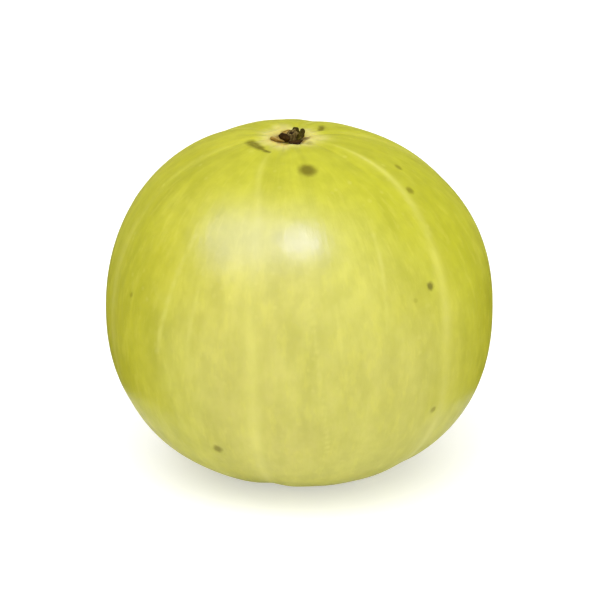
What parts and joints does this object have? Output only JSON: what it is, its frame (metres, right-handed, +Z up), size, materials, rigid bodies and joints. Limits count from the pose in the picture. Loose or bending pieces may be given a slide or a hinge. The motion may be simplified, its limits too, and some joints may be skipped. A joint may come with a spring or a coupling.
{
  "type": "indian gooseberry",
  "caption": "Whole pale green gooseberry fruit, faintly furrowed, with a short dry stalk stub and dried calyx at its crown.",
  "frame": {"origin": "centre of the flat resting spot at the blossom end, on the surface that the fruit stands on", "axes": "+Z up through the fruit to its stem end; -Y is the front, the side with a pale seam just left of its middle; +X is to the right of the front"},
  "size_m": [0.04, 0.04, 0.0373],
  "materials": {
    "skin": "smooth waxy skin, pale yellow-green, satin gloss, translucent, with pale seams and a few brown specks",
    "stalk": "dry grey-brown broken stalk, rough and matt",
    "sepal": "dried papery sepal, dark brown, matt and wrinkled"
  },
  "bodies": {
    "root": {"fruit": "skin", "stalk_stub": "stalk", "sepal_1": "sepal", "sepal_2": "sepal", "sepal_3": "sepal", "sepal_4": "sepal", "sepal_5": "sepal", "sepal_6": "sepal"}
  },
  "joints": []
}
